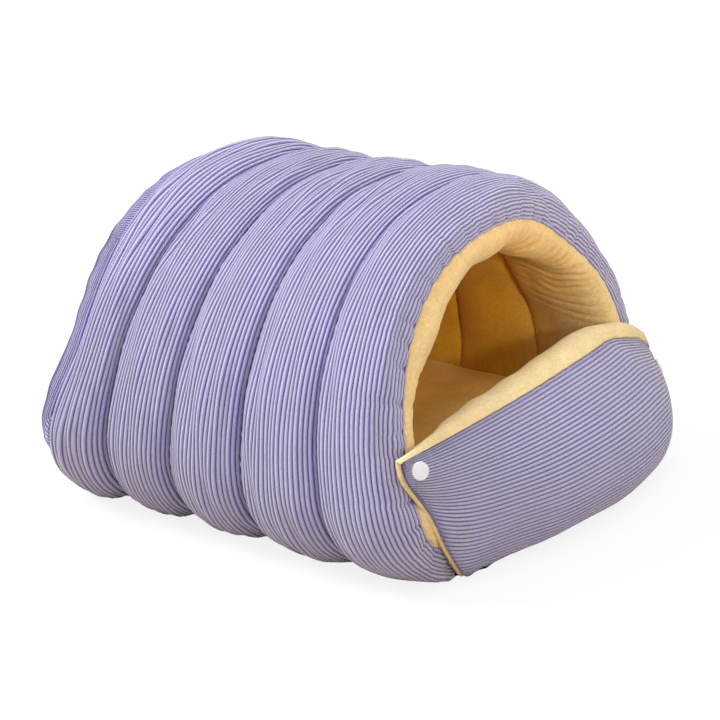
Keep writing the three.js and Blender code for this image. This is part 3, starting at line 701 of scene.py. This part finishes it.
def makeHoodLining(seamU, seam):
    looks = liningLooks
    t = np.linspace(0, 1, looks["perChannel"] + 1)[1:]
    v = np.concatenate([[0.0], *[channel + (1 - np.cos(t * math.pi)) / 2 for channel in range(4)]])
    curve = innerPoint(np.full(240, 0.3), 4.0001 + 0.9999 * np.linspace(0, 1, 240), 0)
    v = np.concatenate([v, 4 + evenStops(curve, looks["rollColumns"])[0][1:]])
    turned = np.arange(1, 3) / 2 * looks["turnUnder"]
    v = np.concatenate([v, 5 + turned / 1000])
    ring = np.linspace(0, 1, 600)
    u = evenStops(innerPoint(ring, np.full(600, 2.5), 0), looks["rows"])[0]
    points = innerPoint(u[:, None], v[None, :], 0)
    along = runAlong(points, 0)[:, len(v) // 2][:, None]
    across = runAlong(points, 1)[len(u) // 3][None, :]
    normal = -surfaceNormals(points)
    channel = np.minimum(np.floor(v + 1e-6), 4)
    t = (v - channel)[None, :]
    fill = np.sqrt(np.clip(4 * t * (1 - t), 0, 1))
    lumps = makeWaves(5, looks["lumpLength"])(along, across + 300 * channel[None, :])
    move = looks["lump"] * lumps * fill
    toRim = np.maximum(across.max() - looks["turnUnder"] - across, 0)
    roll = np.clip(v[None, :] - 3.6, 0, 1) * np.clip(toRim / 9, 0, 1)
    patch = np.clip(0.5 + 0.6 * makeWaves(36, looks["foldPatch"])(along, across), 0, 1)
    bent = along + looks["foldLean"] * toRim + looks["foldBend"] * toRim**2
    folds = np.exp(-(makeWaves(35, looks["foldGap"], direction=0.0)(bent) / looks["foldWidth"]) ** 2)
    move = move - looks["folds"] * folds * roll * patch
    stray = makeWaves(37, 40)(along, across)
    phase = (bent + 2.5 * stray) / looks["wrinkleGap"] * math.pi
    inPatch = (ease(looks["wrinkleFrom"], looks["wrinkleFrom"] + 0.06, u)
               * ease(looks["wrinkleTo"], looks["wrinkleTo"] - 0.06, u))
    strength = inPatch[:, None] * np.clip(0.75 + 0.5 * makeWaves(38, 22)(along, across / 3), 0, 1.2)
    wrinkles = np.abs(np.cos(phase)) ** 3 * roll * strength * ease(2, 16, toRim)
    move = move - looks["wrinkles"] * wrinkles
    fromShoulder = (u - looks["shoulderAt"]) / looks["shoulderWidth"]
    shoulder = looks["shoulderPuff"] * np.exp(-(fromShoulder ** 2))[:, None]
    bulge = np.sin(np.clip(toRim / looks["rollWidth"], 0, 1) ** 0.7 * math.pi)
    move = move + (looks["rollPuff"] + shoulder) * bulge
    atSeam = np.stack([np.interp(u, seamU, seam[:, k]) for k in range(3)], axis=-1)
    pull = atSeam - outerPoint(u, np.full(len(u), 5.0))
    points = points + normal * (move * np.clip(toRim / 6, 0, 1))[..., None]
    points = points + pull[:, None, :] * np.exp(-toRim / looks["seamPull"])[..., None]
    points[..., 2] = np.maximum(points[..., 2], floorClear)
    # painted shade, growing towards the back of the hood
    paintedInsideShade = lerp(looks["paintedShadeAtRim"], 1, ease(looks["paintedShadeFrom"], looks["paintedShadeTo"], points[..., 1]))
    # painted shade along the wrinkles
    paintedInsideShade = np.clip(paintedInsideShade + looks["paintedWrinkleShade"] * wrinkles, 0, 1)
    coarse = (points - normal * looks["thickness"])[::2, ::2]
    coarse[..., 2] = np.maximum(coarse[..., 2], floorClear)
    return addShell("hood_lining_fleece", points, coarse, 2, fleece, {"paintedInsideShade": paintedInsideShade}, flip=True)


# Flap: padded corduroy across the doorway, its wales level, its fuller side to the right

flapTable = {  # from the bottom seam to the top seam
    "z": [2.3, 9, 28, 50, 76, 98, 109, 112.6],
    "left": [122, 128, 142, 153, 167, 184, 184, 184],
    "right": [145, 158, 174, 183, 185, 177, 167, 164],
    "edgeY": [-141.5, -141, -140, -138, -133, -128, -125.5, -125],
    "belly": [17, 39, 48, 48, 42, 29, 18, 11],
    "lean": [0.44, 0.42, 0.38, 0.32, 0.26, 0.22, 0.2, 0.2],
}
flapFleeceTable = {  # from the bottom seam up the inner side and over the crown to the top seam
    "z": [2.3, 9, 34, 64, 94, 111, 117.5, 114],
    "belly": [2, 14, 22, 20, 17, 8, -3, -12],
    "behind": [5.8, 5.8, 5.8, 5.8, 5.8, 5.8, 3, 0.4],
    "inY": [-1, -1, -1, -1, -1, -0.9, 0, 0.6],
    "inZ": [0, 0, 0, 0, 0, -0.4, -1, -0.8],
}
flapLooks = {
    "leftPower": 2.4, "rightPower": 2.9, "fullness": 0.8,
    "innerHalfAtFloor": 96, "innerHalf": 130, "innerRise": 60, "innerPower": 4,
    "droop": 17, "droopFrom": 0.6, "droopPower": 1.5, "droopHeight": 109, "forward": 3.5,
    "corner": 12, "cornerFrom": 0.84,  # mm that the right top corner is rounded down
    "thinEnd": 0.14, "thinFrom": 112,
    "walePitch": 3.5, "waleDepth": 0.8, "waleRoundness": 0.4, "perWale": 3, "columns": 240,
    "smile": 0.075, "smileReach": 0.13,  # how far the wales are pulled up at the left end
    "fleeceThickness": 2.5, "edgeShow": 0.015,
    "bandPuff": 4, "bandPuffRight": 4, "bandWidth": 36, "bandTaper": 0.5,
    "lumpLength": 90, "lump": 1.2, "puckerLength": 16, "pucker": 0.6, "puckerReach": 7,
}


def flapBelly(a, z):
    looks = flapLooks
    leaned = a - np.interp(z, flapTable["z"], flapTable["lean"]) * (1 - a * a)
    power = np.where(leaned < 0, looks["leftPower"], looks["rightPower"])
    return np.maximum(0, 1 - np.abs(leaned) ** power) ** looks["fullness"]


def flapHeight(a, z):
    # the right end of the flap droops
    looks = flapLooks
    lift = min(z / looks["droopHeight"], 1) ** looks["droopPower"]
    corner = np.clip((a - looks["cornerFrom"]) / (1 - looks["cornerFrom"]), 0, 1) ** 2
    return z - (looks["droop"] * ease(looks["droopFrom"], 1, a) + looks["corner"] * corner) * lift


def flapEdge(a, z):
    # where the flap's edge stands in plan
    looks, table = flapLooks, flapTable
    z = flapHeight(a, min(z, looks["droopHeight"]))
    left, right, y = [np.interp(z, table["z"], table[column]) for column in ("left", "right", "edgeY")]
    return a * np.where(a < 0, left, right), y - looks["forward"] * ease(looks["droopFrom"], 1, a)


def flapFrontRow(a, k):
    z = flapTable["z"][k]
    x, y = flapEdge(a, z)
    return np.stack([x, y - flapTable["belly"][k] * flapBelly(a, z), flapHeight(a, z)], axis=-1)


def flapFleeceRow(a, k, depth):
    looks, table = flapLooks, flapFleeceTable
    thin = np.exp(-(a + 1) / looks["thinEnd"])  # the turned-over fleece is thin at the left end
    z = flapHeight(a, table["z"][k])
    x, y = flapEdge(a, table["z"][k])
    innerHalf = lerp(looks["innerHalfAtFloor"], looks["innerHalf"], np.clip(z / looks["innerRise"], 0, 1))
    inside = np.maximum(0, 1 - (np.abs(x) / innerHalf) ** looks["innerPower"])
    share = inside if table["belly"][k] > 0 else flapBelly(a, table["z"][k])
    y = y + table["behind"][k] + table["belly"][k] * share
    z = z - thin * max(table["z"][k] - looks["thinFrom"], 0) * 0.7
    return np.stack([x, y + table["inY"][k] * depth, z + table["inZ"][k] * depth], axis=-1)


def makeFlap():
    looks = flapLooks
    a = np.sin(np.linspace(1, -1, looks["columns"] + 1) * math.pi / 2 * 0.8) / math.sin(math.pi / 2 * 0.8)
    control = [flapFrontRow(a, k) for k in range(8)]
    rough = smoothRows(control, 400)
    stops, length = evenStops(rough[:, looks["columns"] // 3], 50)
    count = round(length / looks["walePitch"])
    fine = evenStops(rough[:, looks["columns"] // 3], 400)[0]
    wale = waleStops(count)
    stops = np.interp(wale / count, np.linspace(0, 1, 401), fine)
    smile = looks["smile"] * np.exp(-(a + 1) / looks["smileReach"])
    points = []
    for c in range(len(a)):
        bent = stops + smile[c] * np.sin(stops * math.pi)
        points.append(np.stack([np.interp(bent, np.linspace(0, 1, 401), rough[:, c, k]) for k in range(3)], axis=-1))
    points = np.array(points)
    normal = surfaceNormals(points)
    up = runAlong(points, 1)
    across = runAlong(points, 0)
    fromBottom, fromTop = up, up[:, -1:] - up
    fromEnds = np.minimum(across, across[-1:] - across)
    near = np.minimum(np.minimum(fromBottom, fromTop), fromEnds)
    lumps = makeWaves(51, looks["lumpLength"])(across, up)
    move = looks["lump"] * lumps * np.clip(near / 14, 0, 1)
    low = makeWaves(52, looks["puckerLength"], direction=0.0)(across)
    high = makeWaves(53, looks["puckerLength"], direction=0.0)(across)
    move += looks["pucker"] * 1.3 * low * np.exp(-fromBottom / looks["puckerReach"])
    move += looks["pucker"] * 0.5 * high * np.exp(-fromTop / looks["puckerReach"])
    points = points + normal * move[..., None]
    points[..., 2] = np.maximum(points[..., 2], 1.2)
    depth = looks["waleDepth"] * mm * np.clip(near / 5, 0.25, 1)
    step = looks["perWale"]
    fleeceRows = smoothRows([flapFleeceRow(a, k, 3.4) for k in range(8)], count)
    coarse = fleeceRows.transpose(1, 0, 2)[::step]
    # seam carries painted shade along the flap's edges
    flap = addShell("flap_cover", points, coarse, step, corduroy, {
        "wale": wale[None, :], "waleDepth": depth, "seam": 0.6 * np.exp(-near / 4)})
    applyTree(flap, ribs, {"Roundness": looks["waleRoundness"], "Material": corduroy})
    return flap, points, normal


def makeFlapLining():
    looks = flapLooks
    inner = np.sin(np.linspace(1, -1, 117) * math.pi / 2 * 0.8) / math.sin(math.pi / 2 * 0.8)
    a = np.concatenate([[1.0, 0.998], inner[1:-1],
                        [-1 - looks["edgeShow"] / 2, -1 - looks["edgeShow"]]])
    face = smoothRows([flapFleeceRow(a, k, 0) for k in range(8)], 60).transpose(1, 0, 2)
    normal = -surfaceNormals(face)
    across, up = runAlong(face, 0), runAlong(face, 1)
    near = np.minimum(up, up[:, -1:] - up)
    lumps = makeWaves(61, 55)(across, up)
    high = makeWaves(53, looks["puckerLength"], direction=0.0)(across)
    toSeam = up[:, -1:] - up
    move = 1.0 * lumps * np.clip(near / 12, 0, 1) + 0.5 * high * np.exp(-toSeam / 7)
    taper = ease(-1, -1 + looks["bandTaper"], a)[:, None]
    puff = looks["bandPuff"] * taper + looks["bandPuffRight"] * ease(-0.3, 0.7, a)[:, None]
    move = move + puff * np.sin(np.clip(toSeam / looks["bandWidth"], 0, 1) * math.pi)
    ends = np.clip(np.minimum(across, across[-1:] - across) / 12, 0, 1)
    face = face + normal * (move * ends)[..., None]
    back = smoothRows([flapFleeceRow(a, k, looks["fleeceThickness"]) for k in range(8)], 30).transpose(1, 0, 2)[::2]
    return addShell("flap_lining_fleece", face, back, 2, fleece, {"paintedInsideShade": 0 * up}, flip=True)


# Back panel: a pillow that closes the tunnel, its wales upright

backLooks = {
    "shoulder": 205,  # height up to which the wales follow the sides
    "edge": 4, "gap": 1.3, "bulgeOut": 40, "bulgeIn": 14, "edgePower": 6, "insideShare": 0.955,
    "floorFade": 190, "bulgeAtFloor": 0.25, "walePitch": 3.4, "waleDepth": 0.7, "perWale": 3, "rows": 96,
    "lumpLength": 90, "lump": 1.6, "puckerLength": 26, "pucker": 0.5, "puckerReach": 16,
}


def columnGrid(ring, shrink, column, rows):
    # rows of places inside the back seam's ring that follow its sides up to the shoulders,
    # with each place's share of the way out to it
    u = np.linspace(0, 1, 1201)
    ringX, ringZ = ringPoint(ring, u, sewnLines["width"][0], sewnLines["height"][0])
    ringX, ringZ = ringX * shrink, np.maximum(lerp(floorClear, ringZ, shrink), floorClear)
    widest = int(np.argmax(ringX))
    shoulder = 600 + int(np.argmin(np.abs(ringZ[600:widest] - backLooks["shoulder"])))
    top = np.interp(np.abs(column) * ringX[shoulder], ringX[600 : shoulder + 1], ringZ[600 : shoulder + 1])
    low = np.interp(np.abs(column) * ringX.max(), ringX[widest:][::-1], ringZ[widest:][::-1], left=floorClear)
    share = (1 - np.cos(np.linspace(0, 1, rows + 1) * math.pi)) / 2
    z = lerp(low[:, None], top[:, None], share[None, :])
    followed = slice(shoulder, widest + 1)
    xx = column[:, None] * np.interp(z, ringZ[followed][::-1], ringX[followed][::-1])
    angle = np.arctan2(np.maximum(z - floorClear, 1e-6), np.abs(xx) + 1e-9)
    reach = np.hypot(ringX, ringZ - floorClear)[600:]
    ringAngle = np.arctan2(np.maximum(ringZ - floorClear, 1e-6), ringX + 1e-9)[600:]
    limit = np.interp(angle, ringAngle[::-1], reach[::-1])
    return xx, z, np.clip(np.hypot(xx, z - floorClear) / limit, 0, 1)


def pillow(share, z):
    looks = backLooks
    fade = lerp(looks["bulgeAtFloor"], 1, np.sqrt(np.clip(z / looks["floorFade"], 0, 1)))
    return np.sqrt(np.maximum(0, 1 - share ** looks["edgePower"])) * fade


def makeBack():
    looks = backLooks
    width = outerRing["halfWidth"] * sewnLines["width"][0]
    place = np.linspace(-1, 1, 801)
    section = np.stack([place * width, looks["bulgeOut"] * pillow(np.abs(place), looks["floorFade"])], axis=-1)
    stops, length = evenStops(section, 400)
    count = 2 * round(length / 2 / looks["walePitch"])
    even = np.interp(waleStops(count) / count, np.linspace(0, 1, 401), stops) * 2 - 1
    x, z, share = columnGrid(outerRing, 1.0, even, looks["rows"])
    y = leanY(0, z) + looks["gap"] + looks["edge"] + looks["bulgeOut"] * pillow(share, z)
    points = np.stack([x, y, z], axis=-1)
    normal = surfaceNormals(points)
    normal = normal * np.sign(normal[..., 1:2] + 1e-9)
    reach = 150 * (1 - share)
    lumps = makeWaves(71, looks["lumpLength"])(x, z)
    aroundBack = np.arctan2(z - 60, x) * 150
    pucker = makeWaves(72, looks["puckerLength"], direction=0.0)(aroundBack)
    lumpMove = looks["lump"] * lumps * np.clip(reach / 20, 0, 1)
    nearSeam = np.exp(-reach / looks["puckerReach"]) * np.clip(reach / 3, 0, 1)
    move = lumpMove + looks["pucker"] * pucker * nearSeam
    points = points + normal * move[..., None]
    points[..., 2] = np.maximum(points[..., 2], 1.5)
    wale = waleStops(count)[:, None]
    depth = looks["waleDepth"] * mm * np.clip(reach / 5, 0.3, 1)
    step = looks["perWale"]
    backY = leanY(0, z) + looks["gap"] - 0.9 * looks["bulgeIn"] * pillow(np.clip(share / 0.8, 0, 1), z)
    coarse = np.stack([x, backY, z], axis=-1)[::step, ::step]
    # seam carries painted shade beside the back seam
    back = addShell("back_cover", points, coarse, step, corduroy, {
        "wale": wale, "waleDepth": depth, "seam": 0.5 * np.exp(-reach / 2)}, flip=True)
    applyTree(back, ribs, {"Roundness": 0.4, "Material": corduroy})
    return back


def makeBackLining():
    looks = backLooks
    x, z, share = columnGrid(innerRing, looks["insideShare"], np.linspace(-1, 1, 81), 60)
    y = leanY(0, z) - looks["bulgeIn"] * pillow(share, z) - 2.8
    points = np.stack([x, y, z], axis=-1)
    lumps = makeWaves(75, 60)(x, z)
    points[..., 1] += 1.5 * lumps * np.clip((1 - share) * 8, 0, 1)
    coarse = np.array(points[::2, ::2])
    coarse[..., 1] += 2.5
    # painted shade: the whole back lining takes the full inside tint
    return addShell("back_lining_fleece", points, coarse, 2, fleece, {"paintedInsideShade": 0 * x + 1.0})


# Floor cushion: filled, crowned, with sides that draw in to the base

cushionLooks = {"backY": 178, "frontY": -101, "plan": 4, "angles": 160, "rows": 64, "lumpLength": 70, "lump": 2.0}
cushionSide = {
    "z": [2.6, 2.6, 9, 20, 38, 54, 64, 70, 72],
    "halfWidth": [0, 92, 101, 112, 124, 122, 104, 62, 0],
}


def makeCushion():
    looks = cushionLooks
    halfLength = (looks["backY"] - looks["frontY"]) / 2
    middle = (looks["backY"] + looks["frontY"]) / 2
    place = np.linspace(0, 8, looks["rows"] + 1)
    control = np.array([cushionSide["halfWidth"], cushionSide["z"]], float).T
    outline = smoothRows(list(control[1:]), looks["rows"])
    half, z = np.maximum(outline[:, 0], 0), outline[:, 1]
    angle = np.linspace(0, 2 * math.pi, looks["angles"], endpoint=False)
    c, s = np.cos(angle)[:, None], np.sin(angle)[:, None]
    widest = max(cushionSide["halfWidth"])
    reach = np.maximum(halfLength - (widest - half), 0) * np.clip(half / 40, 0, 1)
    x = half * np.sign(c) * np.abs(c) ** (2 / looks["plan"])
    y = middle + reach * np.sign(s) * np.abs(s) ** (2 / looks["plan"])
    zz = np.broadcast_to(z, x.shape)
    lumps = makeWaves(81, looks["lumpLength"])(x, y)
    crown = ease(40, 66, zz)
    zz = zz + looks["lump"] * lumps * crown - 1.5 * crown
    points = np.stack([x, y, zz], axis=-1)
    count = len(z)
    faces = []
    for k in range(len(angle)):
        n = (k + 1) % len(angle)
        for r in range(count - 1):
            faces.append([k * count + r, n * count + r, n * count + r + 1, k * count + r + 1])
    faces.append([k * count for k in range(len(angle))][::-1])
    faces.append([k * count + count - 1 for k in range(len(angle))])
    # painted shade, growing towards the back of the cushion
    paintedInsideShade = lerp(0.5, 1, ease(-110, 10, points[..., 1]))
    return addPiece("cushion_fleece", points, faces, fleece, {"paintedInsideShade": paintedInsideShade})


# Base cloth

baseLooks = {"inset": 1.3, "frontY": -144, "frontHalf": 98, "thickness": 2.0}


def makeBase():
    looks = baseLooks
    half = [outerRing["foot"] * width - looks["inset"] for width in sewnLines["width"]]
    y = [baseBackY, *sewnLines["floorY"][1:5], doorwayFootY]
    right = list(zip(half, y)) + [(looks["frontHalf"], looks["frontY"])]
    outline = []
    for (x0, y0), (x1, y1) in zip(right[:-1], right[1:]):
        outline += [(lerp(x0, x1, k / 12), lerp(y0, y1, k / 12)) for k in range(12)]
    outline.append(right[-1])
    ring = outline + [(-x, y) for x, y in outline[::-1]]
    points = [(x, y, z) for z in (0.0, looks["thickness"]) for x, y in ring]
    count = len(ring)
    faces = [[k, k + count, (k + 1) % count + count, (k + 1) % count] for k in range(count)]
    faces += [list(range(count)), [k + count for k in range(count)][::-1]]
    return addPiece("base_cloth_woven", np.array(points), faces, woven)


# Snap caps

snapLooks = {"snap_left": (-174, 103), "snap_right": (174, 86), "clear": 0.5, "sides": 48,
             "lean": 0.4, "leanTo": (-0.8, -0.5, 0.3)}  # the cap sits a little proud of the soft cloth
snapProfile = {  # half the cap's outline: a flat rim, a shallow step and a low dome
    "radius": [0.01, 6.0, 6.6, 6.7, 6.6, 6.1, 5.2, 4.7, 4.4, 3.0, 1.5, 0.01],
    "height": [0.0, 0.0, 0.4, 1.1, 1.8, 2.25, 2.35, 2.2, 2.35, 2.65, 2.8, 2.85],
}


def makeSnap(name, surface, normals):
    looks = snapLooks
    x, z = looks[name]
    a = x / np.interp(z, flapTable["z"], flapTable["left" if x < 0 else "right"])
    apart = np.abs(surface[..., 0] - x) + np.abs(surface[..., 2] - flapHeight(a, z))
    at = np.unravel_index(np.argmin(apart), apart.shape)
    near = normals[max(at[0] - 3, 0) : at[0] + 4, max(at[1] - 6, 0) : at[1] + 7]
    outward = Vector(near.reshape(-1, 3).mean(0)).normalized()
    if x < 0:
        outward = outward.lerp(Vector(looks["leanTo"]), looks["lean"]).normalized()
    turn = Vector((0, 0, 1)).rotation_difference(outward).to_matrix()
    angle = np.linspace(0, 2 * math.pi, looks["sides"], endpoint=False)
    radius, height = np.array(snapProfile["radius"]), np.array(snapProfile["height"])
    local = np.stack([radius * np.cos(angle)[:, None], radius * np.sin(angle)[:, None],
                      np.broadcast_to(height + looks["clear"], (len(angle), len(height)))], axis=-1)
    points = local @ np.array(turn).T + surface[at]
    count = len(radius)
    faces = []
    for k in range(len(angle)):
        n = (k + 1) % len(angle)
        for r in range(count - 1):
            faces.append([k * count + r, n * count + r, n * count + r + 1, k * count + r + 1])
    faces.append([k * count for k in range(len(angle))][::-1])
    faces.append([k * count + count - 1 for k in range(len(angle))])
    return addPiece(name, points, faces, moulded)


hoodCover, hoodThread, rimSeam = makeHood()
print("hood made", len(hoodCover.data.polygons))
hoodLining = makeHoodLining(*rimSeam)
print("hood lining made")
flapCover, flapSurface, flapNormals = makeFlap()
flapLining = makeFlapLining()
print("flap made", len(flapCover.data.polygons))
backCover = makeBack()
backLining = makeBackLining()
print("back made", len(backCover.data.polygons))
cushion = makeCushion()
base = makeBase()
snaps = [makeSnap(name, flapSurface, flapNormals) for name in ("snap_left", "snap_right")]
print("cushion, base cloth and snaps made")


# How each piece rides, what it stands for and which finish it has
roles = {
    hoodCover: ("hood", "corduroy_lavender"), hoodThread: ("hood", "corduroy_lavender"),
    hoodLining: ("hood_lining", "fleece_yellow"), backCover: ("back_panel", "corduroy_lavender"),
    backLining: ("back_lining", "fleece_yellow"), cushion: ("floor_cushion", "fleece_yellow"),
    base: ("base_cloth", "base_cloth_dark"), flapCover: ("flap", "corduroy_lavender"),
    flapLining: ("flap_lining", "fleece_yellow"), snaps[0]: ("snap_cap_left", "snap_white"),
    snaps[1]: ("snap_cap_right", "snap_white"),
}
for piece, (node, slotName) in roles.items():
    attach(piece, "root")
    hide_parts(node)


def halfArea(piece):
    return sum(face.area for face in piece.data.polygons) / 2


print("sheet areas", [round(halfArea(p), 4) for p in (hoodLining, backLining, flapLining, base)])


# Studio: white sweep, a big soft light from behind on the left, a warm one from the front

studio = {
    "key": {"from": (-0.36, 0.74, 0.7), "strength": 2.7, "spread": 20, "colour": (0.94, 1.0, 1.07)},
    "card": {"from": (-0.45, -1.0, 0.15), "strength": 0.78, "spread": 50, "colour": (1.16, 0.94, 0.77)},
    "skyLow": 0.08, "skyHigh": 1.5,
    # a small lamp that looks in at the doorway from the left
    "lamp": {"from": (-0.75, -1.0, 0.45), "aim": (100, -10, 125), "away": 1.2,
             "power": 11.5, "cone": 15, "size": 0.05,
             "colour": (1.04, 0.98, 0.9)},
 "floor": "#ffffff", "bounce": "#c4b6a4",
    "floorShade": 0.16,  # how much of a shadow the sweep shows
}


def addSun(name, light):
    data = bpy.data.lights.new(name, "SUN")
    data.energy, data.color, data.angle = light["strength"], light["colour"], math.radians(light["spread"])
    lamp = bpy.data.objects.new(name, data)
    lamp.rotation_mode = "QUATERNION"
    lamp.rotation_quaternion = Vector(light["from"]).to_track_quat("Z", "Y")
    bpy.context.scene.collection.objects.link(lamp)


addSun("keySoftbox", studio["key"])
addSun("warmCard", studio["card"])
doorwayLamp = bpy.data.lights.new("doorwayLamp", "SPOT")
lampLooks = studio["lamp"]
doorwayLamp.energy = lampLooks["power"]
doorwayLamp.color = lampLooks["colour"]
doorwayLamp.shadow_soft_size = lampLooks["size"]
doorwayLamp.spot_size, doorwayLamp.spot_blend = math.radians(lampLooks["cone"]), 1.0
lamp = bpy.data.objects.new("doorwayLamp", doorwayLamp)
lampWay = Vector(lampLooks["from"]).normalized()
lamp.location = Vector(toMetres(lampLooks["aim"])) + lampWay * lampLooks["away"]
lamp.rotation_mode = "QUATERNION"
lamp.rotation_quaternion = lampWay.to_track_quat("Z", "Y")
bpy.context.scene.collection.objects.link(lamp)
world = bpy.data.worlds.new("whiteStudio")
bpy.context.scene.world = world
world.use_nodes = True
world.node_tree.nodes.clear()
sightLine = addNode(world.node_tree, "ShaderNodeTexCoord")
height = addNode(world.node_tree, "ShaderNodeSeparateXYZ", {0: sightLine.outputs["Generated"]})
glow = addNode(world.node_tree, "ShaderNodeMapRange", {
    "Value": height.outputs["Z"], "To Min": studio["skyLow"], "To Max": studio["skyHigh"]})
sky = addNode(world.node_tree, "ShaderNodeBackground", {"Color": [1, 1, 1, 1], "Strength": glow.outputs[0]})
seen = addNode(world.node_tree, "ShaderNodeBackground", {"Color": [1, 1, 1, 1], "Strength": 1.0})
ray = addNode(world.node_tree, "ShaderNodeLightPath")
either = addNode(world.node_tree, "ShaderNodeMixShader", {
    0: ray.outputs["Is Camera Ray"], 1: sky.outputs[0], 2: seen.outputs[0]})
addNode(world.node_tree, "ShaderNodeOutputWorld", {"Surface": either.outputs[0]})

# the sweep looks white and throws only a little warm light back up, as a paper one far from the lamps does
sweep = bpy.data.materials.new("whiteSweep")
sweep.use_nodes = True
sweep.node_tree.nodes.clear()
lit = addNode(sweep.node_tree, "ShaderNodeBsdfDiffuse", {"Color": linear(studio["floor"])})
white = addNode(sweep.node_tree, "ShaderNodeEmission", {"Color": linear(studio["floor"]), "Strength": 1.0})
paper = addNode(sweep.node_tree, "ShaderNodeMixShader", {
    0: studio["floorShade"], 1: white.outputs[0], 2: lit.outputs[0]})
bounce = addNode(sweep.node_tree, "ShaderNodeBsdfDiffuse", {"Color": linear(studio["bounce"])})
ray = addNode(sweep.node_tree, "ShaderNodeLightPath")
either = addNode(sweep.node_tree, "ShaderNodeMixShader", {
    0: ray.outputs["Is Camera Ray"], 1: bounce.outputs[0], 2: paper.outputs[0]})
addNode(sweep.node_tree, "ShaderNodeOutputMaterial", {"Surface": either.outputs[0]})
floorMesh = bpy.data.meshes.new("floor")
floorMesh.from_pydata([(-6, -6, 0), (6, -6, 0), (6, 6, 0), (-6, 6, 0)], [], [[0, 1, 2, 3]])
floorMesh.materials.append(sweep)
floor = bpy.data.objects.new("floor", floorMesh)
bpy.context.scene.collection.objects.link(floor)

view = {"azimuth": -57.2, "elevation": 21.0, "lens": 110, "distance": 1716, "target": (-23.6, 14.5, 106.7)}
azimuth, elevation = math.radians(view["azimuth"]), math.radians(view["elevation"])
back = Vector((math.sin(azimuth) * math.cos(elevation), -math.cos(azimuth) * math.cos(elevation), math.sin(elevation)))
target = Vector(toMetres(view["target"]))
cameraData = bpy.data.cameras.new("camera")
cameraData.lens, cameraData.sensor_width = view["lens"], 36
cameraData.clip_start, cameraData.clip_end = 0.05, 50
camera = bpy.data.objects.new("camera", cameraData)
camera.location = target + back * view["distance"] * mm
camera.rotation_mode = "QUATERNION"
camera.rotation_quaternion = (-back).to_track_quat("-Z", "Y")
bpy.context.scene.collection.objects.link(camera)
bpy.context.scene.camera = camera
bpy.context.scene.view_settings.view_transform = "Standard"
print("studio and camera made")
